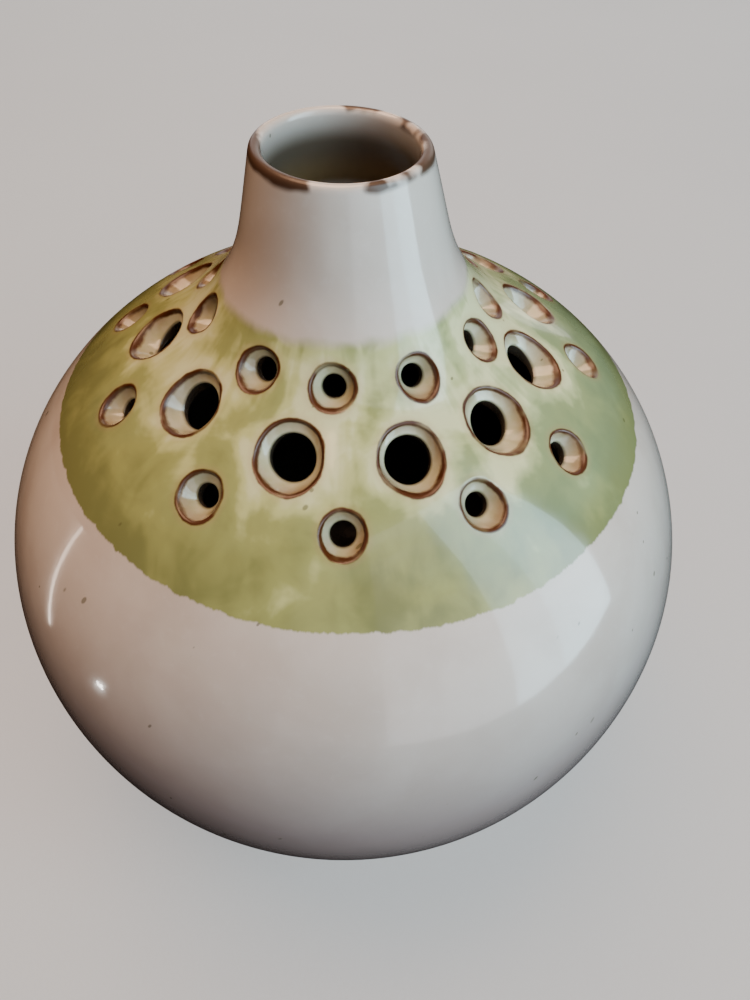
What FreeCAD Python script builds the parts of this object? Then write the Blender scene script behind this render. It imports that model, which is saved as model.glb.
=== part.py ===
import FreeCAD, Part
import math
import os
import Sketcher
from FreeCAD import Placement, Rotation, Vector

# Flower frog: a thrown stoneware pot, its shoulder pierced by three rings of stem holes.
# Millimetres. Z is the axis of the pot, z = 0 the ground under the foot, -Y the front.
# The outline is a chain of tangent arcs. The glazed outside, the clay under it, the clay
# inside and the glazed inside are the same chain drawn at four depths below the surface.

DRIVING = {
    "belly_radius": 75.0,
    "belly_height": 66.0,
    "bowl_arc": 70.0,
    "shoulder_arc": 63.0,
    "shoulder_slope": 31.0,
    "cone_length": 15.0,
    "flare_arc": 30.0,
    "neck_slope": 76.0,
    "throat_slope": 91.5,
    "lip_edge": 158.9,
    "wall": 4.4,
    "glaze": 0.5,
    "floor_top": 11.0,
    "foot_height": 5.0,
    "foot_outer": 37.3,
    "foot_inner": 32.5,
    "foot_recess": 31.5,
    "foot_bevel": 0.8,
    "green_low": 108.2,
    "green_high": 137.7,
    "upper_ring": 26.2,
    "middle_ring": 36.2,
    "lower_ring": 45.5,
    "upper_rim": 3.8,
    "upper_throat": 1.95,
    "middle_rim": 5.9,
    "middle_throat": 3.9,
    "lower_rim": 4.0,
    "lower_throat": 2.05,
    "bevel_depth": 2.9,
    "cutter_above": 1.2,
    "cutter_below": 8.0,
}

SHARED = {
    "bowl_centre": "belly_radius - bowl_arc",
    "shoulder_centre": "belly_radius - shoulder_arc",
    "cone_foot_radius": "shoulder_centre + shoulder_arc * sin(shoulder_slope)",
    "cone_foot_height": "belly_height + shoulder_arc * cos(shoulder_slope)",
    "cone_top_radius": "cone_foot_radius - cone_length * cos(shoulder_slope)",
    "cone_top_height": "cone_foot_height + cone_length * sin(shoulder_slope)",
    "flare_centre": "cone_top_radius + flare_arc * sin(shoulder_slope)",
    "flare_height": "cone_top_height + flare_arc * cos(shoulder_slope)",
    "floor_under": "floor_top - glaze",
    "foot_outer_low": "foot_outer - foot_bevel",
    "foot_inner_low": "foot_inner + foot_bevel",
    "upper_ring_tilt": "acos((flare_centre - upper_ring) / flare_arc)",
    "upper_ring_height": "flare_height - flare_arc * sin(upper_ring_tilt)",
    "middle_ring_tilt": "90 - shoulder_slope",
    "middle_ring_height":
        "cone_foot_height + (cone_foot_radius - middle_ring) * tan(shoulder_slope)",
    "lower_ring_tilt": "acos((lower_ring - shoulder_centre) / shoulder_arc)",
    "lower_ring_height": "belly_height + shoulder_arc * sin(lower_ring_tilt)",
}

# Each surface: how far it lies below the glazed outside, and how steep its neck is.
SURFACES = {
    "skin": ("0", "neck_slope"),
    "clay": ("glaze", "neck_slope"),
    "inner": ("wall - glaze", "throat_slope"),
    "liner": ("wall", "throat_slope"),
}

# The chain of points and arcs on one surface; S stands for the surface's name.
CHAIN = {
    "S_bowl_arc": "bowl_arc - S_depth",
    "S_shoulder_arc": "shoulder_arc - S_depth",
    "S_flare_arc": "flare_arc + S_depth",
    "S_foot": "bowl_centre + sqrt(pow(S_bowl_arc; 2) - pow(belly_height - foot_height; 2))",
    "S_belly": "belly_radius - S_depth",
    "S_green_low": "shoulder_centre"
                   " + sqrt(pow(S_shoulder_arc; 2) - pow(green_low - belly_height; 2))",
    "S_cone_foot_r": "cone_foot_radius - S_depth * sin(shoulder_slope)",
    "S_cone_foot_z": "cone_foot_height - S_depth * cos(shoulder_slope)",
    "S_cone_top_r": "cone_top_radius - S_depth * sin(shoulder_slope)",
    "S_cone_top_z": "cone_top_height - S_depth * cos(shoulder_slope)",
    "S_green_high": "flare_centre"
                    " - sqrt(pow(S_flare_arc; 2) - pow(flare_height - green_high; 2))",
    "S_neck_r": "flare_centre - S_flare_arc * sin(S_slope)",
    "S_neck_z": "flare_height - S_flare_arc * cos(S_slope)",
    "S_lip": "S_neck_r - (lip_edge - S_neck_z) / tan(S_slope)",
}

FLOORS = {
    "inner_floor": "bowl_centre + sqrt(pow(inner_bowl_arc; 2) - pow(belly_height - floor_under; 2))",
    "liner_floor": "bowl_centre + sqrt(pow(liner_bowl_arc; 2) - pow(belly_height - floor_top; 2))",
    "glazed_lip_centre": "(skin_lip + liner_lip) / 2",
    "glazed_lip_arc": "(skin_lip - liner_lip) / 2",
    "clay_lip_centre": "(clay_lip + inner_lip) / 2",
    "clay_lip_arc": "(clay_lip - inner_lip) / 2",
    "glazed_lip_top": "lip_edge + glazed_lip_arc",
    "clay_lip_top": "lip_edge + clay_lip_arc",
    "bevel_low": "0 - bevel_depth",
    "cutter_low": "0 - cutter_below",
}

# The potter pierced by eye: how far each hole sits from its even place, in degrees, and
# how far out of its ring, in mm, going round from the back (-180) through the front (0).
RINGS = {
    "upper": (0.0,
              (-1, -4, -9, -13, -15, -4, -5, -3, 1, -5, 3, 2),
              (0.2, -0.4, 0.4, -0.3, 0.1, 0.2, 0.3, 0.1, 0.3, -0.9, 0.3, -0.2)),
    "middle": (15.0,
               (-3, -6, -9, -9, -4, 0, 1.5, -0.5, -2, -1, -3, -2),
               (0.5, 0.3, -0.2, -0.5, -0.9, 0.3, 0.7, 0.3, -1.0, 0.7, 0.2, -0.4)),
    "lower": (0.0,
              (-2, -5, -9, -11, -7, -2, -1, -1, -4.5, -3, -2, -1),
              (-0.5, 0.2, 0.6, -0.9, -0.6, 0.1, 1.1, 0.4, 1.6, 0.1, -0.3, 0.4)),
}
HOLES_PER_RING = 12

doc = FreeCAD.newDocument("flower_frog")
sheet = doc.addObject("Spreadsheet::Sheet", "Dimensions")
rows = []


def dimension(alias, content):
    """Adds one named row to the sheet."""
    rows.append(alias)
    row = len(rows)
    sheet.set("A%d" % row, alias)
    sheet.set("B%d" % row, content)
    sheet.setAlias("B%d" % row, alias)


def value(alias):
    """The number a row of the sheet holds, lengths in mm and angles in degrees."""
    held = sheet.get(alias)
    return float(getattr(held, "Value", held))


def fill_sheet():
    for alias, number in DRIVING.items():
        dimension(alias, str(number))
    for alias, formula in SHARED.items():
        dimension(alias, "=" + formula)
    for surface, (depth, slope) in SURFACES.items():
        dimension(surface + "_depth", "=" + depth)
        dimension(surface + "_slope", "=" + slope)
        for alias, formula in CHAIN.items():
            dimension(alias.replace("S_", surface + "_"), "=" + formula.replace("S_", surface + "_"))
    for alias, formula in FLOORS.items():
        dimension(alias, "=" + formula)
    for ring in RINGS:
        slant = "(%s_rim - %s_throat) / bevel_depth" % (ring, ring)
        dimension(ring + "_rim_above", "=%s_rim + cutter_above * %s" % (ring, slant))
        for size in ("rim_above", "throat"):
            dimension("%s_%s_clay" % (ring, size), "=%s_%s + glaze" % (ring, size))
    doc.recompute()


def profile_sketch(body, label, loop):
    """A closed sketch on the body's XZ plane, every point and arc bound to the sheet.

    The loop lists (radius row, height row, arc) for each corner. The arc runs to the next
    corner, as (arc radius row, centre radius row, centre height row), or is None: a line.
    """
    sketch = body.newObject("Sketcher::SketchObject", label + "_profile")
    plane = next(item for item in body.Origin.OriginFeatures if item.Role == "XZ_Plane")
    sketch.AttachmentSupport = [(plane, "")]
    sketch.MapMode = "FlatFace"
    corners = [Vector(value(r) if r else 0, value(z) if z else 0, 0) for r, z, arc in loop]
    ends = []
    for index, (r, z, arc) in enumerate(loop):
        here = corners[index]
        there = corners[(index + 1) % len(loop)]
        if arc is None:
            sketch.addGeometry(Part.LineSegment(here, there))
            ends.append((1, 2))
            continue
        centre = Vector(value(arc[1]), value(arc[2]), 0)
        circle = Part.Circle(centre, Vector(0, 0, 1), value(arc[0]))
        turn = (here - centre).cross(there - centre).z
        first, last = (here, there) if turn > 0 else (there, here)
        low = circle.parameter(first)
        high = circle.parameter(last)
        if high <= low:
            high += 2 * math.pi
        sketch.addGeometry(Part.ArcOfCircle(circle, low, high))
        ends.append((1, 2) if turn > 0 else (2, 1))
    for index, (r, z, arc) in enumerate(loop):
        after = (index + 1) % len(loop)
        start = ends[index][0]
        sketch.addConstraint(
            Sketcher.Constraint("Coincident", index, ends[index][1], after, ends[after][0]))
        bind_corner(sketch, index, start, r, z, corners[index])
        if arc is not None:
            number = sketch.addConstraint(
                Sketcher.Constraint("Radius", index, value(arc[0])))
            sketch.setExpression("Constraints[%d]" % number, "Dimensions." + arc[0])
    return sketch


def bind_corner(sketch, index, start, r, z, corner):
    """Ties one corner to its two rows; a missing row means the corner lies on the axis."""
    for kind, row, axis, distance in (("DistanceX", r, -2, corner.x), ("DistanceY", z, -1, corner.y)):
        if row is None:
            sketch.addConstraint(Sketcher.Constraint("PointOnObject", index, start, axis))
            continue
        number = sketch.addConstraint(
            Sketcher.Constraint(kind, -1, 1, index, start, distance))
        sketch.setExpression("Constraints[%d]" % number, "Dimensions." + row)


def turned(label, loop):
    """A body turned about the Z axis from a closed loop."""
    body = doc.addObject("PartDesign::Body", label)
    sketch = profile_sketch(body, label, loop)
    turning = body.newObject("PartDesign::Revolution", label + "_turned")
    turning.Profile = sketch
    turning.ReferenceAxis = (sketch, ["V_Axis"])
    turning.Angle = 360.0
    body.Tip = turning
    sketch.Visibility = False
    doc.recompute()
    return body


def arc(surface, kind):
    """The rows that give one of a surface's arcs."""
    centre, height = {
        "bowl": ("bowl_centre", "belly_height"),
        "shoulder": ("shoulder_centre", "belly_height"),
        "flare": ("flare_centre", "flare_height"),
    }[kind]
    return ("%s_%s_arc" % (surface, kind), centre, height)


def neck_loop(outer, kind, inner):
    """Up one surface of the neck, over the lip (glazed or bare) and down the other."""
    over = ("%s_lip_arc" % kind, "%s_lip_centre" % kind, "lip_edge")
    top = ("%s_lip_centre" % kind, "%s_lip_top" % kind, over)
    return stretch(outer, "neck", over) + [top] + back(stretch(inner, "neck"))


def stretch(surface, zone, end=None):
    """The corners of one surface through one zone, going up; end is the arc after the last."""
    if zone == "bowl":
        foot = {
            "inner": ("inner_floor", "floor_under"),
            "liner": ("liner_floor", "floor_top"),
        }.get(surface, (surface + "_foot", "foot_height"))
        return [
            (foot[0], foot[1], arc(surface, "bowl")),
            (surface + "_belly", "belly_height", arc(surface, "shoulder")),
            (surface + "_green_low", "green_low", end),
        ]
    if zone == "shoulder":
        return [
            (surface + "_green_low", "green_low", arc(surface, "shoulder")),
            (surface + "_cone_foot_r", surface + "_cone_foot_z", None),
            (surface + "_cone_top_r", surface + "_cone_top_z", arc(surface, "flare")),
            (surface + "_green_high", "green_high", end),
        ]
    return [
        (surface + "_green_high", "green_high", arc(surface, "flare")),
        (surface + "_neck_r", surface + "_neck_z", None),
        (surface + "_lip", "lip_edge", end),
    ]


def back(corners):
    """The same corners going the other way, each arc moved to the corner it now leaves."""
    reverse = []
    for index in range(len(corners) - 1, -1, -1):
        leaving = corners[index - 1][2] if index else None
        reverse.append((corners[index][0], corners[index][1], leaving))
    return reverse


def cutter(label, ring, suffix):
    """One stem-hole cutter standing on z = 0: a bevel opening upward over a straight throat."""
    throat = "%s_throat%s" % (ring, suffix)
    above = "%s_rim_above%s" % (ring, suffix)
    return turned(label, [
        (None, "cutter_low", None),
        (throat, "cutter_low", None),
        (throat, "bevel_low", None),
        (above, "cutter_above", None),
        (None, "cutter_above", None),
    ])


def hole_placements(ring):
    """Where the holes of one ring sit: on the skin, square to it."""
    first, drifts, strays = RINGS[ring]
    radius = value(ring + "_ring")
    height = value(ring + "_ring_height")
    tilt = value(ring + "_ring_tilt")
    step = 360.0 / HOLES_PER_RING
    for index, (drift, stray) in enumerate(zip(drifts, strays)):
        azimuth = -180.0 + first + index * step + drift
        round_axis = Rotation(Vector(0, 0, 1), azimuth)
        lean = Rotation(Vector(1, 0, 0), 90.0 - tilt)
        drop = stray / math.tan(math.radians(tilt))
        seat = round_axis.multVec(Vector(0, -radius - stray, height - drop))
        yield Placement(seat, round_axis.multiply(lean))


def all_cutters(label, suffix):
    """The cutters of all three rings fused into one tool."""
    copies = []
    for ring in RINGS:
        master = cutter("%s_%s_cutter" % (ring, label), ring, suffix)
        for index, placement in enumerate(hole_placements(ring)):
            copy = doc.addObject("App::Link", "%s_%s_hole_%02d" % (ring, label, index + 1))
            copy.LinkedObject = master
            copy.Placement = placement
            copies.append(copy)
    tool = doc.addObject("Part::MultiFuse", label + "_holes")
    tool.Shapes = copies
    doc.recompute()
    return tool


def cut(label, base, tool):
    result = doc.addObject("Part::Cut", label)
    result.Base = base
    result.Tool = tool
    doc.recompute()
    return result


def export(label, feature):
    """Writes one sub-part, a single solid or a group of them, after checking it."""
    feature.Label = label
    shape = feature.Shape
    broken = [item.Name for item in doc.Objects if "Invalid" in item.State or "Error" in item.State]
    if broken:
        raise RuntimeError("not computed: %s" % broken)
    if shape.isNull() or not shape.isValid() or not shape.Solids:
        raise RuntimeError("bad shape: %s" % label)
    shape.exportStep("parts/%s.step" % label)
    print("%-16s %2d solids %9.0f mm3" % (label, len(shape.Solids), shape.Volume))


fill_sheet()
os.makedirs("parts", exist_ok=True)

clay_holes = all_cutters("clay", "_clay")
glazed_holes = all_cutters("glazed", "")

foot_ring = turned("foot_ring", [
    ("foot_inner", "foot_bevel", None),
    ("foot_inner_low", None, None),
    ("foot_outer_low", None, None),
    ("foot_outer", "foot_bevel", None),
    ("clay_foot", "foot_height", None),
    ("foot_recess", "foot_height", None),
])
bowl = turned("bowl", (
    [(None, "foot_height", None)]
    + stretch("clay", "bowl")
    + back(stretch("inner", "bowl"))
    + [(None, "floor_under", None)]
))
shoulder_blank = turned("shoulder_blank", (
    stretch("clay", "shoulder") + back(stretch("inner", "shoulder"))
))
pierced_shoulder = cut("pierced_shoulder", shoulder_blank, clay_holes)
neck_collar = turned("neck_collar", neck_loop("clay", "clay", "inner"))

body_glaze = turned("body_glaze", (
    stretch("skin", "bowl") + back(stretch("clay", "bowl"))
))
shoulder_glaze_blank = turned("shoulder_glaze_blank", (
    stretch("skin", "shoulder") + back(stretch("clay", "shoulder"))
))
shoulder_glaze = cut("shoulder_glaze", shoulder_glaze_blank, clay_holes)
neck_glaze = turned("neck_glaze", (
    neck_loop("skin", "glazed", "liner") + neck_loop("inner", "clay", "clay")
))
liner_blank = turned("liner_blank", (
    [(None, "floor_under", None)]
    + stretch("inner", "bowl")[:-1]
    + stretch("inner", "shoulder")
    + back(stretch("liner", "bowl")[:-1] + stretch("liner", "shoulder"))
    + [(None, "floor_top", None)]
))
liner_glaze = cut("liner_glaze", liner_blank, clay_holes)

hole_wall = turned("hole_wall", (
    stretch("skin", "shoulder") + back(stretch("liner", "shoulder"))
))
hole_plugs = doc.addObject("Part::Common", "hole_plugs")
hole_plugs.Base = hole_wall
hole_plugs.Tool = clay_holes
doc.recompute()
stem_hole_glaze = cut("stem_hole_glaze", hole_plugs, glazed_holes)

for label, feature in (
    ("foot_ring", foot_ring),
    ("bowl", bowl),
    ("pierced_shoulder", pierced_shoulder),
    ("neck_collar", neck_collar),
    ("body_glaze", body_glaze),
    ("shoulder_glaze", shoulder_glaze),
    ("neck_glaze", neck_glaze),
    ("liner_glaze", liner_glaze),
    ("stem_hole_glaze", stem_hole_glaze),
):
    export(label, feature)
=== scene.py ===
import math

import bmesh
import bpy
import numpy as np
from mathutils import Matrix, Vector
from mathutils.geometry import delaunay_2d_cdt


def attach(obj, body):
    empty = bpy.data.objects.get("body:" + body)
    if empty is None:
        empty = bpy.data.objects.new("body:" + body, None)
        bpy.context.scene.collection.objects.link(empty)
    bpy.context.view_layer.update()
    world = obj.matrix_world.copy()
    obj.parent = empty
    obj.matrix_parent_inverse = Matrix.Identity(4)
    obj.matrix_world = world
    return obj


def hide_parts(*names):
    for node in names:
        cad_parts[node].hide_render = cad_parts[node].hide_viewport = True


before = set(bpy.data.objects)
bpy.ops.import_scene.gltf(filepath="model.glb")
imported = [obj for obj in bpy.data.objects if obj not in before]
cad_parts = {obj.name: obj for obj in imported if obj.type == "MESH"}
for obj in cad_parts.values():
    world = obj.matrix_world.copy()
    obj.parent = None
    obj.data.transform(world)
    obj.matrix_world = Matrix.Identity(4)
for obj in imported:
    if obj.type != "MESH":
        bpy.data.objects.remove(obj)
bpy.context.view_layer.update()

# Flower frog: the looks of a thrown, glazed stoneware pot with three rings of stem holes.
# Shapes are worked out in millimetres, Z up the axis of the pot, and scaled once to metres.
# Azimuth 0 is the front (-Y) and 90 degrees the right (+X).

MM = 0.001
ROUND = 288                       # corners round the pot
BOWL = (5.0, 66.0, 70.0)          # an arc's centre, radius and height, and its own radius
SHOULDER = (12.0, 66.0, 63.0)
SLOPE = math.radians(31.0)        # of the cone between shoulder and neck
CONE = 15.0
FLARE = 30.0
NECK_SLOPE = math.radians(76.0)
THROAT_SLOPE = math.radians(91.5)
FOOT_TOP = 5.0
FLOOR_TOP = 11.0
WALL = 4.4
GLAZE = 0.5
CORE_GAP = 0.02                   # between the neck's glaze and the clay drawn behind it
LIP_EDGE = 158.9
GREEN_LOW = 108.2
GREEN_HIGH = 137.7
NECK_FOOT = 114.0                 # height above which the neck leans to the left,
NECK_LEAN = 1.6                   # how far it has moved at the lip,
NECK_BEND = 1.4                   # and the power by which the lean grows with height
STEP = 0.1                        # between the rows of an outline
PROBE = 0.05                      # small step for finding a slope
EDGE_ROOM = 8                     # rows kept clear along the shoulder's two level edges

# Each ring of holes: ring radius, rim radius, throat radius, first azimuth, how pale the
# glaze is round it, and how far each hole sits from its even place: degrees and mm outward.
RINGS = (
    (26.2, 3.8, 1.95, 0.0, 0.50,
     (-1, -4, -9, -13, -15, -4, -5, -3, 1, -5, 3, 2),
     (0.2, -0.4, 0.4, -0.3, 0.1, 0.2, 0.3, 0.1, 0.3, -0.9, 0.3, -0.2)),
    (36.2, 5.9, 3.9, 15.0, 0.68,
     (-3, -6, -9, -9, -4, 0, 1.5, -0.5, -2, -1, -3, -2),
     (0.5, 0.3, -0.2, -0.5, -0.9, 0.3, 0.7, 0.3, -1.0, 0.7, 0.2, -0.4)),
    (45.5, 4.0, 2.05, 0.0, 0.15,
     (-2, -5, -9, -11, -7, -2, -1, -1, -4.5, -3, -2, -1),
     (-0.5, 0.2, 0.6, -0.9, -0.6, 0.1, 1.1, 0.4, 1.6, 0.1, -0.3, 0.4)),
)
LEAN = math.radians(15.0)         # of a hole's axis down the slope, from square to the glaze
SIZE_SPREAD = (0.97, 1.03)        # smallest and largest factor on a hole's own radii
SQUASH = 0.022                    # share by which a rim is longer down the slope, and narrower
UNEVEN = ((0.014, 2), (0.012, 3), (0.006, 5))   # each rim's own waves: size and number
BORDER = 0.5                      # surface round each rim that belongs to the hole's piece
REACH = 3.0                       # how far out from a rim its distance is stored
HALO = 3.2                        # how far the paler glaze spreads round a rim

# The wall of a hole from the outside in. The rim's rounded edge: distance inside the rim and
# depth below the glaze. The bevel: shares of the way to the throat. The throat's upper edge:
# distance outside the throat and depth below the seat. Its lower edge: distance outside the
# throat and height above the inside of the wall.
RIM_EDGE = ((-0.28, 0.0), (-0.12, 0.02), (0.02, 0.07), (0.15, 0.19), (0.26, 0.38), (0.36, 0.62))
BEVEL_SHARES = (0.18, 0.38, 0.58, 0.78, 1.0)
BEVEL_DEPTH = 2.55
BEVEL_HOLLOW = 0.10
SHELF = 0.2
THROAT_TOP = ((0.07, 2.72), (0.0, 2.95))
THROAT_END = ((0.0, 0.3), (0.08, 0.09), (0.35, 0.0))

# Waves that put the pot out of round: size in mm, number round it, phase and turn per mm up.
WOBBLES = ((0.10, 2, 0.7, 0.017), (0.05, 3, 2.1, -0.031), (0.04, 1, 0.0, 0.17))
CALM = 12.0                       # radius at which the wobble has half its size

rng = np.random.default_rng(7)


# ---- outline -------------------------------------------------------------------------

def rounded(path, ease, step=STEP):
    """The path with its changes of bend eased over about the given length.

    Gives one row per step: radius, height, and the outward normal of a path going up.
    """
    path = np.asarray(path, float)
    run = np.concatenate([[0.0], np.cumsum(np.hypot(*np.diff(path, axis=0).T))])
    count = int(round(run[-1] / step))
    along = np.linspace(0.0, run[-1], count + 1)
    r = np.interp(along, run, path[:, 0])
    z = np.interp(along, run, path[:, 1])
    heading = np.unwrap(np.arctan2(np.diff(z), np.diff(r)))
    reach = int(4 * ease / step)
    weight = np.exp(-0.5 * (np.arange(-reach, reach + 1) * step / ease) ** 2)
    padded = np.pad(heading, reach, mode="reflect", reflect_type="odd")
    heading = np.convolve(padded, weight / weight.sum(), "valid")
    spacing = run[-1] / count
    eased_r = r[0] + np.concatenate([[0.0], np.cumsum(np.cos(heading)) * spacing])
    eased_z = z[0] + np.concatenate([[0.0], np.cumsum(np.sin(heading)) * spacing])
    eased_r += (r[-1] - eased_r[-1]) * along / run[-1]
    eased_z += (z[-1] - eased_z[-1]) * along / run[-1]
    at_row = np.interp(np.arange(count + 1), np.arange(count) + 0.5, heading)
    return np.stack([eased_r, eased_z, np.sin(at_row), -np.cos(at_row)], axis=1)


def arc_points(centre_r, centre_z, radius, first, last):
    """Points on an arc, its angles in radians from straight out."""
    turn = np.linspace(first, last, max(3, int(abs(last - first) * radius / STEP)))
    return np.stack([centre_r + radius * np.cos(turn), centre_z + radius * np.sin(turn)], axis=1)


def flare_points(depth, steepest):
    """Up the concave flare at a depth below the skin, and on up the neck to the lip."""
    centre_r = SHOULDER[0] + SHOULDER[2] * math.sin(SLOPE) - CONE * math.cos(SLOPE)
    centre_z = SHOULDER[1] + SHOULDER[2] * math.cos(SLOPE) + CONE * math.sin(SLOPE)
    centre_r += FLARE * math.sin(SLOPE)
    centre_z += FLARE * math.cos(SLOPE)
    count = 300
    slope = np.linspace(SLOPE, steepest, count)
    arc = np.stack([centre_r - (FLARE + depth) * np.sin(slope),
                    centre_z - (FLARE + depth) * np.cos(slope)], axis=1)
    lip_r = arc[-1, 0] - (LIP_EDGE - arc[-1, 1]) / math.tan(steepest)
    return np.vstack([arc, [lip_r, LIP_EDGE]])


SKIN = rounded(np.vstack([
    arc_points(*BOWL, -math.asin((BOWL[1] - FOOT_TOP) / BOWL[2]), 0.0),
    arc_points(*SHOULDER, 0.0, math.pi / 2 - SLOPE)[1:],
    flare_points(0.0, NECK_SLOPE),
]), ease=2.5)
BELLY = int(np.argmax(SKIN[:, 0]))
LOW_ROW = BELLY + int(np.argmin(abs(SKIN[BELLY:, 1] - GREEN_LOW)))
HIGH_ROW = BELLY + int(np.argmin(abs(SKIN[BELLY:, 1] - GREEN_HIGH)))


def on_profile(row, depth):
    """Radius, height and normal at a row of the skin, fractions allowed, at a depth below it."""
    row = np.asarray(row, float)
    r, z, nr, nz = (np.interp(row, np.arange(len(SKIN)), SKIN[:, k]) for k in range(4))
    return r - depth * nr, z - depth * nz, nr, nz


def turned(azimuth, r, z):
    """Points at an azimuth, from a radius and a height."""
    return np.stack(np.broadcast_arrays(r * np.sin(azimuth), -r * np.cos(azimuth), z), axis=-1)


def surface(azimuth, row, depth):
    """Points and outward normals at a depth below the skin."""
    r, z, nr, nz = on_profile(row, depth)
    return turned(azimuth, r, z), turned(azimuth, nr, nz)


def spaced(rows, apart, turn):
    """Picks rows so that neighbours are at most so far apart and turn at most so much."""
    run = np.hypot(*np.diff(rows[:, :2], axis=0).T)
    bend = abs(np.diff(np.unwrap(np.arctan2(rows[:, 3], rows[:, 2]))))
    need = np.concatenate([[0.0], np.cumsum(run / apart + bend / math.radians(turn))])
    picked = np.interp(np.linspace(0, need[-1], int(math.ceil(need[-1])) + 1),
                       need, np.arange(len(rows)))
    return np.unique(np.round(picked).astype(int))


AZIMUTHS = np.arange(ROUND) * 2 * math.pi / ROUND


# ---- hand of the potter ----------------------------------------------------------------

def wobbled(points):
    """The same points on a pot that is slightly out of round, its neck a little off upright."""
    x, y, z = points.T
    r = np.hypot(x, y)
    azimuth = np.arctan2(x, -y)
    out = sum(size * np.sin(waves * azimuth + phase + twist * z)
              for size, waves, phase, twist in WOBBLES)
    out *= r / (r + CALM)
    lean = NECK_LEAN * np.maximum((z - NECK_FOOT) / (LIP_EDGE - NECK_FOOT), 0.0) ** NECK_BEND
    spread = np.stack([out * x, out * y, 0 * z], axis=1) / np.maximum(r, 1e-6)[:, None]
    return points + spread - np.stack([lean, 0 * z, 0 * z], axis=1)


def wobbled_normals(points, normals):
    """Normals after the wobble, from two small steps along the surface; zero ones stay zero."""
    missing = np.linalg.norm(normals, axis=1) < 0.5
    helper = np.where(abs(normals[:, 2:3]) < 0.9, [[0.0, 0.0, 1.0]], [[1.0, 0.0, 0.0]])
    side = np.cross(helper, normals)
    side /= np.maximum(np.linalg.norm(side, axis=1), 1e-9)[:, None]
    up = np.cross(normals, side)
    across = wobbled(points + PROBE * side) - wobbled(points - PROBE * side)
    along = wobbled(points + PROBE * up) - wobbled(points - PROBE * up)
    result = np.cross(across, along)
    result /= np.maximum(np.linalg.norm(result, axis=1), 1e-12)[:, None]
    result[missing] = 0.0
    return result


# ---- shells ----------------------------------------------------------------------------

def smooth_outward(mesh):
    """Smooth faces that all look out of the closed mesh."""
    bm = bmesh.new()
    bm.from_mesh(mesh)
    bmesh.ops.recalc_face_normals(bm, faces=bm.faces)
    for face in bm.faces:
        face.smooth = True
    bm.to_mesh(mesh)
    bm.free()


class Shell:
    """One closed piece: points with normals and numbers, faces in front and faces behind."""

    def __init__(self, name):
        self.name = name
        self.points, self.normals, self.numbers = [], [], []
        self.front, self.behind = [], []
        self.count = 0

    def add(self, points, normals=None, near=0.0, pale=0.0, deep=0.0):
        """Adds points and gives their numbers, in the same layout."""
        shape = points.shape[:-1]
        flat = points.reshape(-1, 3)
        self.points.append(flat)
        self.normals.append(np.zeros_like(flat) if normals is None
                            else np.broadcast_to(normals, points.shape).reshape(-1, 3))
        self.numbers.append(np.stack(
            [np.broadcast_to(value, shape).reshape(-1) for value in (near, pale, deep)], axis=1))
        first = self.count
        self.count += len(flat)
        return np.arange(first, self.count).reshape(shape)

    def band(self, rows, front=True, closed=True):
        """Faces between each row of point numbers and the next."""
        for low, high in zip(rows[:-1], rows[1:]):
            quads = np.stack([low, np.roll(low, -1), np.roll(high, -1), high], axis=1)
            (self.front if front else self.behind).append(quads if closed else quads[:-1])

    def store_numbers(self, mesh):
        """Keeps each point's distance, paleness and depth for the glaze."""
        for index, name in enumerate(("near", "pale", "deep")):
            layer = mesh.attributes.new(name, "FLOAT", "POINT")
            layer.data.foreach_set("value", np.vstack(self.numbers)[:, index].astype(np.float32))

    def set_normals(self, mesh, normals, faces):
        """Gives the front faces their exact normals and leaves the others smooth."""
        shown = sum(len(group) for group in self.front)
        corners = np.zeros(len(mesh.loops), np.int32)
        mesh.loops.foreach_get("vertex_index", corners)
        in_front = np.repeat(np.arange(len(faces)) < shown, [len(face) for face in faces])
        custom = np.where(in_front[:, None], normals[corners], 0.0)
        mesh.normals_split_custom_set(custom.tolist())

    def build(self, material, nodes):
        """The finished object, riding on the root and standing for its CAD nodes."""
        points = np.vstack(self.points)
        normals = wobbled_normals(points, np.vstack(self.normals))
        groups = self.front + self.behind
        faces = [tuple(int(corner) for corner in face) for group in groups for face in group]
        mesh = bpy.data.meshes.new(self.name)
        mesh.from_pydata((wobbled(points) * MM).tolist(), [], faces)
        self.store_numbers(mesh)
        smooth_outward(mesh)
        self.set_normals(mesh, normals, faces)
        mesh.materials.append(material)
        piece = bpy.data.objects.new(self.name, mesh)
        bpy.context.scene.collection.objects.link(piece)
        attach(piece, "root")
        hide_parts(*nodes)
        return piece


def turned_rows(rows):
    """Points and normals of outline rows, turned all the way round."""
    r, z, nr, nz = (rows[:, k, None] for k in range(4))
    return turned(AZIMUTHS, r, z), turned(AZIMUTHS, nr, nz)


def coat(name, rows, thickness, material, nodes):
    """A closed coat turned about the axis: a front surface and the same one a little behind."""
    shell = Shell(name)
    points, normals = turned_rows(rows)
    front = shell.add(points, normals)
    back = shell.add(points - np.reshape(thickness, (-1, 1, 1)) * normals)
    shell.band(front)
    shell.band(back, front=False)
    shell.band([front[0], back[0]], front=False)
    shell.band([front[-1], back[-1]], front=False)
    return shell.build(material, nodes)


def neck_core(rows, material):
    """The neck's clay, closed all round, just behind the glaze on its outside and inside."""
    shell = Shell("neck_clay")
    points, normals = turned_rows(rows)
    core = shell.add(points - (GLAZE + CORE_GAP) * normals)
    shell.band(core, front=False)
    shell.band([core[-1], core[0]], front=False)
    return shell.build(material, ["neck_collar"])


# ---- stem holes ------------------------------------------------------------------------

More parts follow.
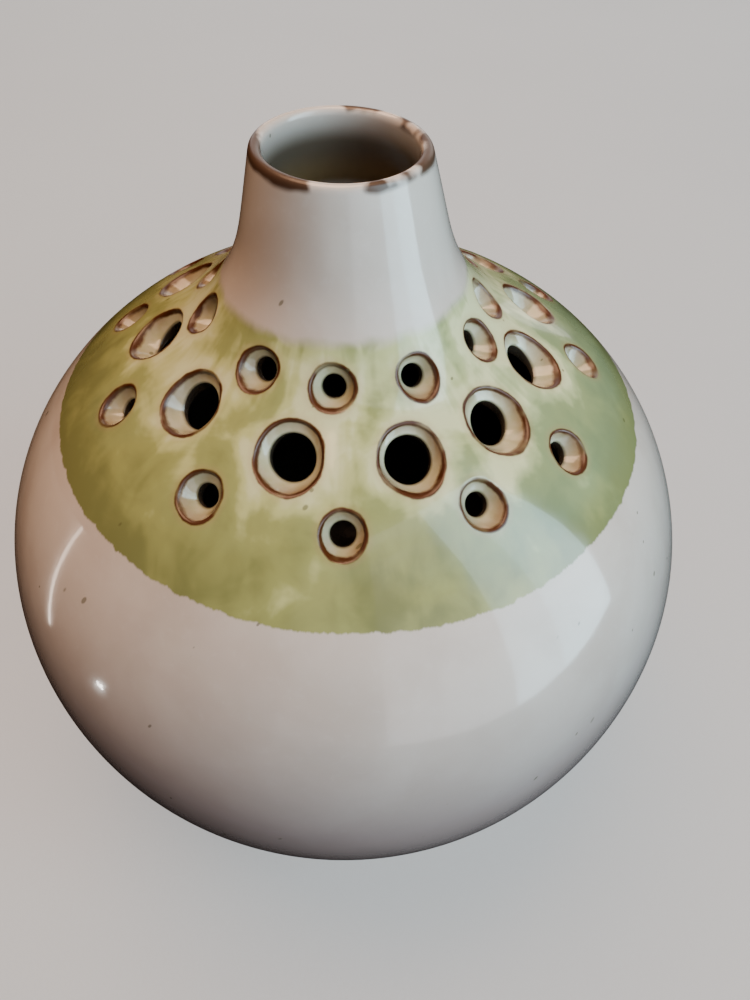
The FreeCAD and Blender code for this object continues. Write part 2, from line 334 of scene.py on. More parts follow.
def height_table(depth):
    """Radius, height and row of the shoulder at a depth, sorted by radius."""
    margin = 60
    rows = np.arange(LOW_ROW - margin, min(HIGH_ROW + margin, len(SKIN) - 1))
    r, z = on_profile(rows, depth)[:2]
    order = np.argsort(r)
    return r[order], z[order], rows[order].astype(float)


TABLES = {0.0: height_table(0.0), WALL: height_table(WALL)}


def drop_to(start, axis, depth):
    """How far along the axis each start point is from the shoulder at that depth."""
    r_table, z_table = TABLES[depth][:2]
    travel = np.zeros(start.shape[:-1])
    for _ in range(8):
        here = start + travel[..., None] * axis
        r = np.hypot(here[..., 0], here[..., 1])
        miss = here[..., 2] - np.interp(r, r_table, z_table)
        further, nearer = (np.interp(r + side * PROBE, r_table, z_table) for side in (1, -1))
        slope = (further - nearer) / (2 * PROBE)
        outward = (here[..., 0] * axis[0] + here[..., 1] * axis[1]) / r
        travel -= miss / (axis[2] - slope * outward)
    return travel


def place_of(points):
    """Azimuth and skin row of points on the glaze of the shoulder."""
    r_table, _, row_table = TABLES[0.0]
    r = np.hypot(points[..., 0], points[..., 1])
    return np.arctan2(points[..., 0], -points[..., 1]), np.interp(r, r_table, row_table)


class Hole:
    """One stem hole: a wide bevel opening outward from a narrower throat, pierced by hand."""

    def __init__(self, ring_radius, rim, throat, pale, azimuth):
        row = float(np.interp(ring_radius, TABLES[0.0][0], TABLES[0.0][2]))
        seat, normal = surface(np.array(azimuth), row, 0.0)
        across = np.array([math.cos(azimuth), math.sin(azimuth), 0.0])
        uphill = np.cross(normal, across)
        self.seat = seat
        self.pale = pale
        self.rim = rim * rng.uniform(*SIZE_SPREAD)
        self.throat = throat * rng.uniform(*SIZE_SPREAD)
        self.axis = math.cos(LEAN) * normal - math.sin(LEAN) * uphill
        self.sides = np.stack([across, math.cos(LEAN) * uphill + math.sin(LEAN) * normal])
        corners = 72 if rim > 5 else 56
        self.turns = np.arange(corners) * 2 * math.pi / corners
        self.phases = rng.uniform(0, 2 * math.pi, 3)

    def uneven(self, turn):
        """How much wider than its mean radius the hole is in a direction, as a factor."""
        waves = sum(size * np.cos(count * turn + phase)
                    for (size, count), phase in zip(UNEVEN, self.phases))
        return 1.0 - SQUASH * np.cos(2 * turn) + waves

    def ring(self, radius):
        """Points round the axis in the plane through the hole's seat."""
        spread = (np.atleast_1d(radius) * np.ones_like(self.turns))[:, None]
        directions = (np.cos(self.turns)[:, None] * self.sides[0]
                      + np.sin(self.turns)[:, None] * self.sides[1])
        return self.seat + spread * directions

    def on_skin(self, beyond):
        """Azimuths and rows of points of the glaze at a distance outside the rim."""
        start = self.ring(self.rim * self.uneven(self.turns) + beyond)
        return place_of(start + drop_to(start, self.axis, 0.0)[:, None] * self.axis)

    def distance(self, points):
        """How far points lie outside the rim."""
        away = points - self.seat
        flat = away @ self.sides.T
        turn = np.arctan2(flat[..., 1], flat[..., 0])
        return np.hypot(flat[..., 0], flat[..., 1]) - self.rim * self.uneven(turn)

    def raised(self, radius, height):
        """Points at a radius round the axis and a height along it from the seat's plane."""
        return self.ring(radius) + np.reshape(height, (-1, 1)) * self.axis

    def wall(self):
        """Rings of points from the rim's rounded edge down to the inside of the pot.

        Each comes with its distance inside the rim and its depth below the glaze.
        """
        rim = self.rim * self.uneven(self.turns)
        throat = self.throat * (1 + 0.5 * (self.uneven(self.turns) - 1))
        rings = []
        for inside, down in RIM_EDGE:
            rim_height = drop_to(self.ring(rim - inside), self.axis, 0.0) - down
            rings.append((self.raised(rim - inside, rim_height), inside, down))
        edge_inside, edge_depth = RIM_EDGE[-1]
        for share in BEVEL_SHARES:
            radius = ((1 - share) * (rim - edge_inside) + share * (throat + SHELF)
                      + BEVEL_HOLLOW * math.sin(math.pi * share))
            height = (1 - share) * rim_height - share * BEVEL_DEPTH
            rings.append((self.raised(radius, height), rim - radius, edge_depth + 2.0 * share))
        for outside, down in THROAT_TOP:
            rings.append((self.raised(throat + outside, -down), rim - throat, down))
        floor = drop_to(self.ring(throat), self.axis, WALL)
        for outside, above in THROAT_END:
            radius = throat + outside
            height = floor + above if above else drop_to(self.ring(radius), self.axis, WALL)
            rings.append((self.raised(radius, height), rim - throat, WALL))
        return rings


def pierced():
    """Every stem hole, ring by ring from the neck outward and from the back round."""
    holes = []
    for ring_radius, rim, throat, first, pale, drifts, strays in RINGS:
        even = 360.0 / len(drifts)
        for index, (drift, stray) in enumerate(zip(drifts, strays)):
            turn = math.radians(-180.0 + first + even * index + drift)
            holes.append(Hole(ring_radius + stray, rim, throat, pale, turn))
    return holes


HOLES = pierced()


def halo(points):
    """How much paler than the rest the glaze is at these points, from 0 to 1."""
    total = np.zeros(points.shape[:-1])
    for hole in HOLES:
        total += hole.pale * np.exp(-(np.maximum(hole.distance(points), 0.0) / HALO) ** 2)
    return np.minimum(total, 1.0)


def stem_hole_piece(material):
    """A glazed sleeve for every stem hole, from the outside of the pot to its inside."""
    shell = Shell("stem_holes")
    for hole in HOLES:
        azimuth, row = hole.on_skin(BORDER)
        outline, normals = surface(azimuth, row, 0.0)
        rings = [shell.add(outline, normals, near=REACH - BORDER, pale=halo(outline))]
        for points, inside, down in hole.wall():
            rings.append(shell.add(points, near=REACH + inside, pale=halo(points), deep=down))
        under, below = surface(azimuth, row, WALL)
        rings.append(shell.add(under, -below, near=REACH, deep=WALL))
        shell.band(rings)
        shell.band([rings[-1], rings[0]], front=False)
    return shell.build(material, ["stem_hole_glaze"])


# ---- pierced shoulder ------------------------------------------------------------------

class Lattice:
    """The shoulder between the holes as triangles, good for any depth below the skin."""

    def __init__(self):
        self.azimuths, self.rows, self.loops = [], [], []
        self.add_outlines()
        self.add_rings()
        self.add_courses()
        self.azimuth = np.concatenate(self.azimuths)
        self.row = np.concatenate(self.rows)
        points = surface(self.azimuth, self.row, 0.0)[0]
        self.triangles = self.joined(points)
        nearest = np.min([hole.distance(points) for hole in HOLES], axis=0)
        self.near = np.clip(REACH - nearest, 0.0, None)
        self.pale = halo(points)

    def add_outlines(self):
        """The two level edges of the shoulder, then the outline of each hole."""
        outlines = [(AZIMUTHS, np.full(ROUND, float(row))) for row in (LOW_ROW, HIGH_ROW)]
        outlines += [hole.on_skin(BORDER) for hole in HOLES]
        count = 0
        for azimuth, row in outlines:
            self.azimuths.append(azimuth)
            self.rows.append(row)
            self.loops.append(np.arange(count, count + len(azimuth)))
            count += len(azimuth)

    def add_rings(self):
        """Wider and wider rings round each hole, where no other hole is close."""
        between = 0.4
        for beyond, every in ((0.85, 1), (1.3, 2), (1.9, 2)):
            for hole in HOLES:
                azimuth, row = hole.on_skin(beyond)
                points = surface(azimuth, row, 0.0)[0]
                free = (row > LOW_ROW + EDGE_ROOM) & (row < HIGH_ROW - EDGE_ROOM)
                for other in HOLES:
                    if other is not hole:
                        free &= other.distance(points) > beyond + between
                self.azimuths.append(azimuth[free][::every])
                self.rows.append(row[free][::every])

    def add_courses(self):
        """Level courses of points over the rest, like bricks, clear of the holes."""
        apart, clear, rise = 1.35, 2.5, 12
        for index, row in enumerate(np.arange(LOW_ROW + rise, HIGH_ROW - EDGE_ROOM, rise)):
            r = float(on_profile(row, 0.0)[0])
            number = int(2 * math.pi * r / apart)
            azimuth = (np.arange(number) + 0.5 * (index % 2)) * 2 * math.pi / number
            points = surface(azimuth, float(row), 0.0)[0]
            free = np.ones(number, bool)
            for hole in HOLES:
                free &= hole.distance(points) > clear
            self.azimuths.append(azimuth[free])
            self.rows.append(np.full(int(free.sum()), float(row)))

    def joined(self, points):
        """Triangles between the points as seen from above, with none inside a hole."""
        flat = [Vector((float(x), float(y))) for x, y in points[:, :2]]
        edges = [(int(a), int(b)) for loop in self.loops for a, b in zip(loop, np.roll(loop, -1))]
        made = delaunay_2d_cdt(flat, edges, [], 0, 1e-5, True)
        if len(made[0]) != len(flat):
            raise RuntimeError("the shoulder's outlines touch")
        number = np.array([origin[0] for origin in made[3]])
        triangles = number[np.array(made[2])]
        owner = np.full(len(flat), -1)
        for index, loop in enumerate(self.loops[1:]):
            owner[loop] = index
        held = owner[triangles]
        inside = (held[:, 0] >= 0) & (held[:, 0] == held[:, 1]) & (held[:, 0] == held[:, 2])
        return triangles[~inside]

    def layer(self, shell, depth, inward=False, front=True):
        """Adds the whole lattice at one depth and gives its point numbers."""
        points, normals = surface(self.azimuth, self.row, depth)
        normals = -normals if inward else normals
        numbers = shell.add(points, normals if front else None, near=self.near, pale=self.pale)
        (shell.front if front else shell.behind).append(numbers[self.triangles])
        return numbers


def shoulder_piece(lattice, material):
    """The shoulder between the holes, its clay and its outside glaze in one."""
    shell = Shell("green_shoulder")
    front = lattice.layer(shell, 0.0)
    back = lattice.layer(shell, WALL - GLAZE, front=False)
    for loop in lattice.loops:
        shell.band([front[loop], back[loop]], front=False)
    return shell.build(material, ["shoulder_glaze", "pierced_shoulder"])


def inside_rows():
    """Outline rows of the inside, from the middle of the floor up to the shoulder."""
    r, z, nr, nz = on_profile(np.arange(0, LOW_ROW + 1), WALL)
    start = int(np.argmax(z > FLOOR_TOP))
    wall = np.stack([r[start:], z[start:]], axis=1)
    first_radius, least_radius = 0.5, 0.3
    path = rounded(np.vstack([[first_radius, FLOOR_TOP], wall]), ease=2.5)
    path[:, 0] = np.maximum(path[:, 0], least_radius)
    path[-1, 2:] = nr[-1], nz[-1]
    return path[spaced(path, apart=2.2, turn=4.0)]


def liner_piece(lattice, material):
    """The inside of the pot: floor, bowl wall and the underside of the shoulder."""
    shell = Shell("liner")
    front = lattice.layer(shell, WALL, inward=True)
    back = lattice.layer(shell, WALL - GLAZE, front=False)
    points, normals = turned_rows(inside_rows()[:-1])
    for upper, behind, shown in ((front, 0.0, True), (back, GLAZE, False)):
        shifted = points + behind * normals
        numbers = shell.add(shifted, -normals if shown else None)
        shell.band(list(numbers) + [upper[lattice.loops[0]]], front=shown)
        middle = shell.add(np.array([[0.0, 0.0, shifted[0, 0, 2]]]))
        fan = np.stack([np.full(ROUND, middle[0]), numbers[0], np.roll(numbers[0], -1)], axis=1)
        shell.behind.append(fan)
    for loop in lattice.loops[1:]:
        shell.band([front[loop], back[loop]], front=False)
    return shell.build(material, ["liner_glaze"])


# ---- materials -------------------------------------------------------------------------

class Nodes:
    """Short ways of adding and joining shader nodes."""

    def __init__(self, name):
        self.material = bpy.data.materials.new(name)
        self.material.use_nodes = True
        self.tree = self.material.node_tree
        self.tree.nodes.clear()

    def feed(self, socket, value):
        """Links the value to the socket, or sets it there when it is a constant."""
        if isinstance(value, bpy.types.NodeSocket):
            self.tree.links.new(value, socket)
        elif isinstance(value, tuple) and len(value) == 3 and socket.type == "RGBA":
            socket.default_value = (*value, 1.0)
        else:
            socket.default_value = value

    def math(self, operation, a, b=0.0, c=0.0, clamp=False):
        node = self.tree.nodes.new("ShaderNodeMath")
        node.operation = operation
        node.use_clamp = clamp
        for socket, value in zip(node.inputs, (a, b, c)):
            self.feed(socket, value)
        return node.outputs[0]

    def times(self, a, b):
        return self.math("MULTIPLY", a, b)

    def plus(self, a, b):
        return self.math("ADD", a, b)

    def minus(self, a, b, clamp=False):
        return self.math("SUBTRACT", a, b, clamp=clamp)

    def weighed(self, value, weight, rest):
        """The value times its weight, and the rest added."""
        return self.math("MULTIPLY_ADD", value, weight, rest)

    def swing(self, noise, width):
        """A noise as a swing to either side, so wide from end to end."""
        return self.times(self.minus(noise, 0.5), width)

    def vector(self, operation, a, scale=1.0):
        """The result of a vector operation, a number for a length."""
        node = self.tree.nodes.new("ShaderNodeVectorMath")
        node.operation = operation
        self.feed(node.inputs[0], a)
        if operation == "SCALE":
            node.inputs["Scale"].default_value = scale
        return node.outputs["Value" if operation == "LENGTH" else "Vector"]

    def step(self, value, low, high, to_low=0.0, to_high=1.0):
        """A smooth step from to_low to to_high as the value goes from low to high."""
        node = self.tree.nodes.new("ShaderNodeMapRange")
        node.interpolation_type = "SMOOTHSTEP"
        for socket, item in zip(node.inputs, (value, low, high, to_low, to_high)):
            self.feed(socket, item)
        return node.outputs[0]

    def between(self, value, start, full, fade, end):
        """Rises from start to full and falls again from fade to end."""
        return self.times(self.step(value, start, full), self.step(value, end, fade))

    def noise(self, vector, scale, detail=2.0, rough=0.5, distortion=0.0):
        node = self.tree.nodes.new("ShaderNodeTexNoise")
        self.feed(node.inputs["Vector"], vector)
        node.inputs["Scale"].default_value = scale
        node.inputs["Detail"].default_value = detail
        node.inputs["Roughness"].default_value = rough
        node.inputs["Distortion"].default_value = distortion
        return node.outputs["Fac"]

    def cells(self, vector, scale):
        """Distance to the nearest of scattered points, and a random colour for it."""
        node = self.tree.nodes.new("ShaderNodeTexVoronoi")
        self.feed(node.inputs["Vector"], vector)
        node.inputs["Scale"].default_value = scale
        return node.outputs["Distance"], node.outputs["Color"]

    def mix(self, share, first, second):
        node = self.tree.nodes.new("ShaderNodeMix")
        node.data_type = "RGBA"
        colours = [socket for socket in node.inputs if socket.type == "RGBA"]
        self.feed(node.inputs[0], share)
        self.feed(colours[0], first)
        self.feed(colours[1], second)
        return next(socket for socket in node.outputs if socket.type == "RGBA")

    def split(self, vector):
        node = self.tree.nodes.new("ShaderNodeSeparateXYZ")
        self.feed(node.inputs[0], vector)
        return node.outputs

    def join(self, x, y, z):
        node = self.tree.nodes.new("ShaderNodeCombineXYZ")
        for socket, value in zip(node.inputs, (x, y, z)):
            self.feed(socket, value)
        return node.outputs[0]

    def attribute(self, name):
        node = self.tree.nodes.new("ShaderNodeAttribute")
        node.attribute_name = name
        return node.outputs["Fac"]

    def place(self):
        """The point's place in millimetres, so that a noise's scale is in grains per mm."""
        node = self.tree.nodes.new("ShaderNodeTexCoord")
        return self.vector("SCALE", node.outputs["Object"], scale=1.0 / MM)

    def finish(self, colour, roughness, bump, strength, **inputs):
        """The material with this colour, roughness and bump, and other inputs by name."""
        shader = self.tree.nodes.new("ShaderNodeBsdfPrincipled")
        output = self.tree.nodes.new("ShaderNodeOutputMaterial")
        self.feed(shader.inputs["Base Color"], colour)
        self.feed(shader.inputs["Roughness"], roughness)
        for name, value in inputs.items():
            self.feed(shader.inputs[name.replace("_", " ")], value)
        relief = self.tree.nodes.new("ShaderNodeBump")
        relief.inputs["Strength"].default_value = strength
        relief.inputs["Distance"].default_value = MM
        self.feed(relief.inputs["Height"], bump)
        self.tree.links.new(relief.outputs["Normal"], shader.inputs["Normal"])
        self.tree.links.new(shader.outputs[0], output.inputs["Surface"])
        return self.material


WHITE = (0.70, 0.64, 0.58)
WHITE_WARM = (0.62, 0.55, 0.49)
CHALK = (0.80, 0.79, 0.77)
# Painted shade: the darker brown that the lower body is mixed towards.
LOW_BODY_PAINTED_SHADE = (0.43, 0.33, 0.315)
CREAM = (0.69, 0.74, 0.43)
SPRING, SPRING_COOL = (0.56, 0.605, 0.255), (0.45, 0.53, 0.28)
LEAF, LEAF_COOL = (0.35, 0.385, 0.135), (0.27, 0.35, 0.17)
OLIVE, SEA = (0.21, 0.235, 0.085), (0.20, 0.27, 0.14)
HOLE_GREEN, HOLE_TAN = (0.50, 0.51, 0.33), (0.57, 0.55, 0.42)
SCORCH = (0.27, 0.17, 0.09)
BLUSH = (0.42, 0.26, 0.15)
RUST = (0.070, 0.020, 0.004)
# Painted shade: near black for the throats of the holes.
THROAT_PAINTED_SHADE = (0.035, 0.028, 0.02)
SPECK = (0.10, 0.10, 0.045)
WORN = (0.060, 0.026, 0.010)
# Painted shade inside the neck: dark brown by the lip, paler tan lower down.
NECK_PAINTED_SHADE, NECK_TAN = (0.075, 0.058, 0.038), (0.22, 0.14, 0.055)

BAND_LOW = 110.1                  # mean heights of the green band's two uneven edges
BAND_HIGH = 137.1
LIP_RADIUS = 13.6                 # middle of the lip, and the radius where its inside starts
INSIDE_RADIUS = 13.05


class PotGlaze(Nodes):
    """Off-white glaze with a green band round the shoulder and rust-brown hole edges."""

    def __init__(self, name):
        super().__init__(name)
        self.at = self.place()
        self.x, self.y, self.z = self.split(self.at)
        risen = self.math("DIVIDE", self.minus(self.z, NECK_FOOT), LIP_EDGE - NECK_FOOT, clamp=True)
        upright_x = self.weighed(self.math("POWER", risen, NECK_BEND), NECK_LEAN, self.x)
        from_axis = self.join(upright_x, self.y, 0.0)
        self.radius = self.vector("LENGTH", from_axis)
        self.direction = self.vector("NORMALIZE", from_axis)
        self.dx, self.dy = self.split(self.direction)[:2]
        self.cloud = self.noise(self.at, 0.045, 3.0, 0.55, 0.4)
        self.fine = self.noise(self.at, 0.55, 3.0, 0.6)
        self.patch = self.noise(self.at, 0.16, 2.0, 0.5, 0.7)

    def facing(self, x, y):
        """How squarely a side of the pot faces a level direction, from -1 to 1."""
        return self.weighed(self.dx, x, self.times(self.dy, y))

    def white(self):
        """Warm off-white with chalky clouds, and painted shade: browner and darker low on the body.
        """
        white = self.mix(self.step(self.cloud, 0.35, 0.68), WHITE, WHITE_WARM)
        white = self.mix(self.times(self.step(self.fine, 0.52, 0.75), 0.12), white, CHALK)
        # Painted shade: from 104 mm down to 58 mm the white is mixed up to 85 % towards a darker
        # brown.
        return self.mix(self.step(self.z, 104.0, 58.0, 0.0, 0.85), white, LOW_BODY_PAINTED_SHADE)

    def band_edges(self):
        """How far a point is over the green band's low edge and under its high edge."""
        teeth = self.noise(self.vector("SCALE", self.direction, scale=22.0), 1.0, 4.0, 0.65)
        sway = self.noise(self.vector("SCALE", self.direction, scale=1.7), 1.0, 1.0, 0.5)
        low = self.plus(self.facing(-0.7, 1.4), BAND_LOW)
        low = self.plus(low, self.plus(self.swing(teeth, 1.5), self.swing(sway, 1.2)))
        high = self.plus(self.weighed(self.dx, 0.7, BAND_HIGH), self.swing(self.patch, 2.4))
        return self.minus(self.z, low), self.minus(high, self.z)

    def green_thickness(self, over_low):
        """How thick the green lies: streaked, pooled low down, thin round the holes."""
        streak_at = self.join(self.times(self.dx, 9.0), self.times(self.dy, 9.0),
                              self.times(self.z, 0.10))
        streak = self.noise(streak_at, 1.0, 1.0, 0.5, 0.9)
        blotch = self.noise(self.at, 0.07, 4.0, 0.5, 0.6)
        thick = self.weighed(streak, 0.28, self.times(blotch, 0.72))
        thick = self.weighed(self.patch, 0.26, thick)
        pool = self.step(over_low, 0.0, 17.0, 0.16, -0.02)
        # Deeper green towards the pot's left and right sides as seen from the front.
        sides = self.step(self.math("ABSOLUTE", self.x), 34.0, 62.0, 0.0, 0.18)
        thick = self.plus(thick, self.plus(pool, sides))
        thick = self.minus(thick, self.times(self.attribute("pale"), 0.27))
        return self.weighed(thick, 1.25, -0.15)

    def green(self, over_low):
        """Cream where the glaze is thin, then deeper and deeper green; bluer on the right."""
        thick = self.green_thickness(over_low)
        right = self.plus(self.swing(self.cloud, 1.2), self.step(self.x, -25.0, 45.0))
        cool = self.minus(right, self.step(over_low, 7.0, 1.0, 0.0, 0.7), clamp=True)
        green = self.mix(self.step(thick, 0.36, 0.52), CREAM, self.mix(cool, SPRING, SPRING_COOL))
        green = self.mix(self.step(thick, 0.50, 0.66), green, self.mix(cool, LEAF, LEAF_COOL))
        return self.mix(self.step(thick, 0.63, 1.02), green, self.mix(cool, OLIVE, SEA))

    def hole_colours(self, colour):
        """Adds pale bevels, scorched and blushed, throats in painted shade, and gives the rust line
        round the rims too.
        """
        ragged = self.noise(self.at, 0.45, 3.0, 0.55)
        slow = self.noise(self.at, 0.13, 1.0, 0.5)
        shift = self.plus(self.swing(ragged, 0.5), self.swing(slow, 0.9))
        inner = self.plus(self.attribute("near"), shift)
        bevel = self.step(inner, REACH + 0.1, REACH + 0.45)
        in_hole = self.mix(self.step(ragged, 0.3, 0.7), HOLE_GREEN, HOLE_TAN)
        colour = self.mix(self.times(bevel, 0.8), colour, in_hole)
        scorch = self.times(bevel, self.step(inner, REACH + 1.9, REACH + 0.5))
        scorch = self.times(scorch, self.step(slow, 0.35, 0.65, 0.10, 0.65))
        colour = self.mix(scorch, colour, SCORCH)
        blush = self.between(inner, REACH - 1.7, REACH - 0.2, REACH, REACH + 1.0)
        colour = self.mix(self.times(blush, 0.24), colour, BLUSH)
        line = self.between(inner, REACH - 0.50, REACH - 0.15, REACH + 0.30, REACH + 0.62)
        strength = self.step(self.noise(self.at, 0.22, 2.0, 0.5), 0.3, 0.5, 0.75, 1.0)
        colour = self.mix(self.times(line, strength), colour, RUST)
        # Painted shade: from the bevel's foot down, the throat is painted near black.
        return self.mix(self.step(self.attribute("deep"), 2.35, 2.9), colour, THROAT_PAINTED_SHADE), line

    def specks(self, colour):
        """Adds a few slanted iron specks of different sizes."""
        slanted = self.join(self.weighed(self.z, -0.55, self.x), self.y, self.times(self.z, 0.6))
        distance, choice = self.cells(slanted, 0.26)
        kind, size = self.split(choice)[:2]
        wide = self.weighed(size, 0.10, 0.06)
        dots = self.times(self.step(distance, wide, self.times(wide, 0.55)),
                          self.step(kind, 0.76, 0.77))
        return self.mix(self.times(dots, 0.65), colour, SPECK)

    def worn_lip(self):
        """Where the lip's glaze has run thin: at the front left and the right, in patches."""
        front_left = self.step(self.facing(-0.77, -0.64), 0.55, 0.95)
        right_side = self.step(self.facing(0.98, 0.17), 0.3, 0.9, 0.0, 0.75)
        bare_arc = self.math("MAXIMUM", front_left, right_side)
        patches = self.weighed(bare_arc, 0.20, self.noise(self.at, 0.16, 2.0, 0.5))
        patches = self.weighed(self.minus(self.radius, LIP_RADIUS), 0.08, patches)
        front_gap = self.step(self.dy, -0.93, -0.99, 0.0, 0.17)
        patches = self.minus(patches, front_gap)
        on_lip = self.step(self.weighed(patches, 1.6, self.z), LIP_EDGE + 0.25, LIP_EDGE + 1.3)
        return self.times(on_lip, self.step(patches, 0.48, 0.62))

    def neck_inside(self, colour):
        """Adds painted shade to the neck's inside: dark brown by the lip and a paler tan further
        down.
        """
        inward = self.step(self.radius, 13.5, INSIDE_RADIUS)
        inside = self.times(inward, self.step(self.z, LIP_EDGE + 0.6, LIP_EDGE - 4.8))
        # Painted shade: dark brown above 154 mm, turning to a paler tan by 148 mm.
        neck_shade = self.mix(self.step(self.z, 154.0, 148.0), NECK_PAINTED_SHADE, NECK_TAN)
        return self.mix(self.times(inside, 0.95), colour, neck_shade)

    def made(self):
        """The whole glaze, duller where it is thin and with soft waves in its surface."""
        over_low, under_high = self.band_edges()
        band = self.times(self.step(over_low, -0.18, 0.22), self.step(under_high, -1.0, 1.1))
        colour = self.mix(band, self.white(), self.green(over_low))
        colour, line = self.hole_colours(colour)
        colour = self.specks(colour)
        worn = self.worn_lip()
        colour = self.mix(self.times(worn, 0.97), colour, WORN)
        colour = self.neck_inside(colour)
        waves = self.noise(self.at, 0.11, 1.0, 0.5)
        dimples = self.noise(self.at, 0.8, 2.0, 0.5)
        bump = self.weighed(waves, 0.35, self.times(dimples, 0.018))
        dry = self.math("MAXIMUM", line, worn)
        roughness = self.weighed(dry, 0.2, self.weighed(self.fine, 0.10, 0.10))
        return self.finish(colour, roughness, bump, 0.35, Specular_IOR_Level=0.5,
                           Coat_Weight=self.weighed(dry, -0.55, 0.6), Coat_Roughness=0.04,
                           Coat_IOR=1.5)


def inner_glaze_painted_shade():
    """Inside glaze in painted shade: near black deep in the pot, paler towards the neck where light
    reaches.
    """
    n = Nodes("inner_glaze_painted_shade")
    place = n.place()
    height = n.split(place)[2]
    cloud = n.noise(place, 0.06, 4.0, 0.6, 0.3)
    # Painted shade: near black below 129 mm, paler brown above 139 mm towards the neck.
    deep_shade = n.mix(cloud, (0.020, 0.015, 0.010), (0.045, 0.033, 0.022))
    colour = n.mix(n.step(height, 129.0, 139.0), deep_shade, (0.20, 0.16, 0.11))
    return n.finish(colour, 0.45, n.noise(place, 0.5, 3.0, 0.6), 0.3)


def stoneware(name, colour, other):
    """Bare fired clay: fine grain, iron specks and turning lines."""
    n = Nodes(name)
    place = n.place()
    x, y, z = n.split(place)
    radius = n.vector("LENGTH", n.join(x, y, 0.0))
    base = n.mix(n.noise(place, 0.12, 4.0, 0.6), colour, other)
    distance = n.cells(place, 0.45)[0]
    base = n.mix(n.times(n.math("LESS_THAN", distance, 0.12), 0.6), base, (0.10, 0.05, 0.03))
    grain = n.noise(place, 3.2, 3.0, 0.7)
    lines = n.noise(n.join(n.times(radius, 1.6), 0.0, n.times(z, 1.6)), 1.0, 2.0, 0.5)
    bump = n.weighed(grain, 0.10, n.times(lines, 0.12))
    return n.finish(base, 0.85, bump, 0.6)


# ---- the pot ---------------------------------------------------------------------------

def body_piece(material):
    """The lower body's glaze, its low edge rounded off on to the foot."""
    edge_rows, rounding, deepest = (1, 2, 3, 5, 7, 10, 14), 12.0, 0.96
    even_rows = spaced(SKIN[:LOW_ROW + 1], apart=1.6, turn=1.3)
    picked = np.unique(np.concatenate([edge_rows, even_rows]))
    rows = SKIN[picked].copy()
    edge = np.clip(1.0 - picked / rounding, 0.0, 1.0)
    sunk = GLAZE * deepest * (1.0 - np.sqrt(1.0 - edge ** 2))
    rows[:, 0] -= sunk * rows[:, 2]
    rows[:, 1] -= sunk * rows[:, 3]
    return coat("white_body", rows, GLAZE - sunk, material, ["body_glaze"])


def neck_rows():
    """Outline rows up the outside of the neck, over the lip and down its inside."""
    clear = 0.8
    inner_curve = flare_points(WALL, THROAT_SLOPE)
    high_r, high_z, high_nr, high_nz = (float(value) for value in on_profile(HIGH_ROW, WALL))
    inner_curve = inner_curve[inner_curve[:, 1] > high_z + clear]
    half = (SKIN[-1, 0] - inner_curve[-1, 0]) / 2
    lip = arc_points(inner_curve[-1, 0] + half, LIP_EDGE, half, 0.0, math.pi)
    path = np.vstack([SKIN[HIGH_ROW:, :2], lip[1:-1], inner_curve[::-1], [high_r, high_z]])
    rows = rounded(path, ease=0.45, step=STEP / 2)
    rows[0, 2:] = SKIN[HIGH_ROW, 2:]
    rows[-1, 2:] = -high_nr, -high_nz
    return rows[spaced(rows, apart=1.0, turn=7.0)]


glaze = PotGlaze("pot_glaze").made()
inner = inner_glaze_painted_shade()
bare = stoneware("bare_stoneware", (0.42, 0.30, 0.19), (0.30, 0.20, 0.12))
body = stoneware("stoneware_body", (0.36, 0.27, 0.19), (0.28, 0.20, 0.13))

for node in ("foot_ring", "bowl"):
    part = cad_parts[node]
    part.data.materials.clear()
    part.data.materials.append(bare)

white_body = body_piece(glaze)
neck = neck_rows()
coat("white_neck", neck, np.full(len(neck), GLAZE), glaze, ["neck_glaze"])
neck_core(neck, body)
lattice = Lattice()
shoulder_piece(lattice, glaze)
stem_hole_piece(glaze)
liner_piece(lattice, inner)


# ---- stage, light and camera -----------------------------------------------------------

# From here on lengths are in metres. The window is made of panes at one height, which overlap
# and are bluer to the right: name, where the middle is and where it faces, both seen from above,
# width, power and colour.
WINDOW_MIDDLE = 0.585
WINDOW_HEIGHT = 1.33
PANES = (
    ("window_wide", (0.33, -0.53), (0.0, 0.0), 1.5, 2.1, (1.0, 0.89, 0.84)),
    ("window_half", (0.542, -0.398), (0.212, 0.132), 1.0, 5.8, (0.94, 0.94, 1.0)),
    ("window_side", (0.712, -0.292), (0.382, 0.238), 0.6, 10.5, (0.52, 0.84, 1.0)),
    ("window_edge", (0.797, -0.239), (0.467, 0.291), 0.4, 3.8, (0.48, 0.84, 1.0)),
)

LENS = 29.03                      # millimetres, angles in degrees
CAMERA_PLACE = (0.00002, -0.12702, 0.21716)
CAMERA_PITCH, CAMERA_YAW, CAMERA_ROLL = -48.141, 2.823, 2.605


def plain_floor():
    """A pale floor that glows a little and is kept out of the light on the pot."""
    half = 3.0
    mesh = bpy.data.meshes.new("floor")
    corners = [(-half, -half, 0), (half, -half, 0), (half, half, 0), (-half, half, 0)]
    mesh.from_pydata(corners, [], [(0, 1, 2, 3)])
    n = Nodes("pale_floor")
    place = n.place()
    colour = n.mix(n.noise(place, 0.004, 3.0, 0.6), (0.29, 0.287, 0.284), (0.32, 0.317, 0.314))
    mesh.materials.append(n.finish(colour, 0.75, n.noise(place, 0.8, 3.0, 0.6), 0.1,
                                   Emission_Color=colour, Emission_Strength=1.4))
    floor = bpy.data.objects.new("floor", mesh)
    floor.visible_diffuse = False
    floor.visible_glossy = False
    bpy.context.scene.collection.objects.link(floor)


def softbox(name, place, target, width, height, power, colour):
    """A rectangular area light facing the target."""
    data = bpy.data.lights.new(name, "AREA")
    data.shape = "RECTANGLE"
    data.size = width
    data.size_y = height
    data.energy = power
    data.color = colour
    light = bpy.data.objects.new(name, data)
    light.location = place
    light.visible_camera = False
    light.rotation_euler = (Vector(target) - Vector(place)).to_track_quat("-Z", "Y").to_euler()
    bpy.context.scene.collection.objects.link(light)
    return light


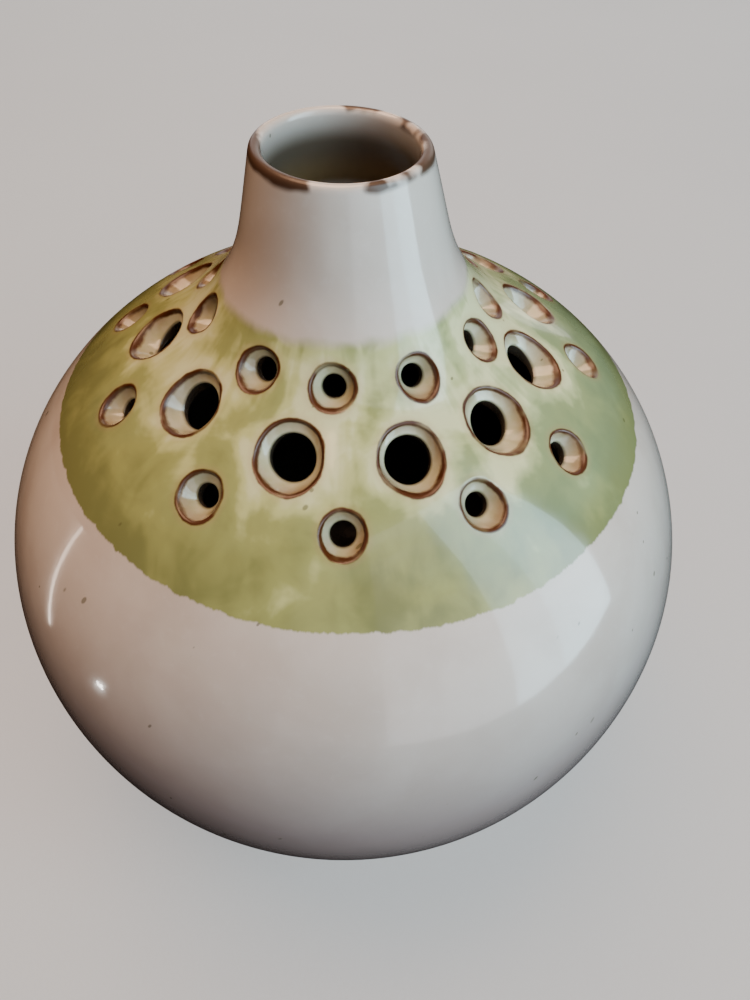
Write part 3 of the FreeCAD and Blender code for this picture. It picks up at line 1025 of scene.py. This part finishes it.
def add_lights(white_body):
    """The window, two soft lights, and two small lamps that only the white body sees."""
    for name, middle, facing, width, power, colour in PANES:
        softbox(name, (*middle, WINDOW_MIDDLE), (*facing, WINDOW_MIDDLE), width, WINDOW_HEIGHT,
                power, colour)
    softbox("top", (-0.15, 0.10, 0.90), (0.0, 0.0, 0.10), 0.6, 0.6, 8.6, (1.0, 0.60, 0.37))
    softbox("rear", (0.10, 0.75, 0.32), (0.0, 0.0, 0.05), 1.0, 0.5, 2.0, (1.0, 0.97, 0.94))
    slim = softbox("slim_lamp", (-0.21, -0.026, 0.09), (-0.05, -0.036, 0.09), 0.004, 0.19, 0.023,
                   (1.0, 0.82, 0.70))
    spot = softbox("spot_lamp", (-0.168, -0.093, 0.014), (-0.043, -0.056, 0.088), 0.007, 0.005,
                   0.004, (1.0, 0.97, 0.92))
    lamp_lit = bpy.data.collections.new("lamp_lit")
    lamp_lit.objects.link(white_body)
    for lamp in (slim, spot):
        lamp.light_linking.receiver_collection = lamp_lit


def add_world():
    """A pale grey background that lights nothing."""
    world = bpy.data.worlds.new("studio")
    world.use_nodes = True
    background = world.node_tree.nodes["Background"]
    background.inputs["Color"].default_value = (0.80, 0.82, 0.85, 1.0)
    background.inputs["Strength"].default_value = 0.6
    world.cycles_visibility.diffuse = False
    world.cycles_visibility.glossy = False
    bpy.context.scene.world = world


def add_camera():
    """Close above the pot and a little in front, looking down across the shoulder."""
    data = bpy.data.cameras.new("camera")
    data.lens = LENS
    data.sensor_width = 36.0
    data.clip_start = 0.005
    camera = bpy.data.objects.new("camera", data)
    pitch, yaw, roll = (math.radians(turn) for turn in (CAMERA_PITCH, CAMERA_YAW, CAMERA_ROLL))
    level = math.cos(pitch)
    ahead = Vector((math.sin(yaw) * level, math.cos(yaw) * level, math.sin(pitch)))
    right = ahead.cross(Vector((0, 0, 1))).normalized()
    up = right.cross(ahead)
    across = right * math.cos(roll) + up * math.sin(roll)
    upright = up * math.cos(roll) - right * math.sin(roll)
    turn = Matrix((across, upright, -ahead)).transposed()
    camera.matrix_world = Matrix.Translation(CAMERA_PLACE) @ turn.to_4x4()
    bpy.context.scene.collection.objects.link(camera)
    bpy.context.scene.camera = camera


plain_floor()
add_lights(white_body)
add_world()
add_camera()
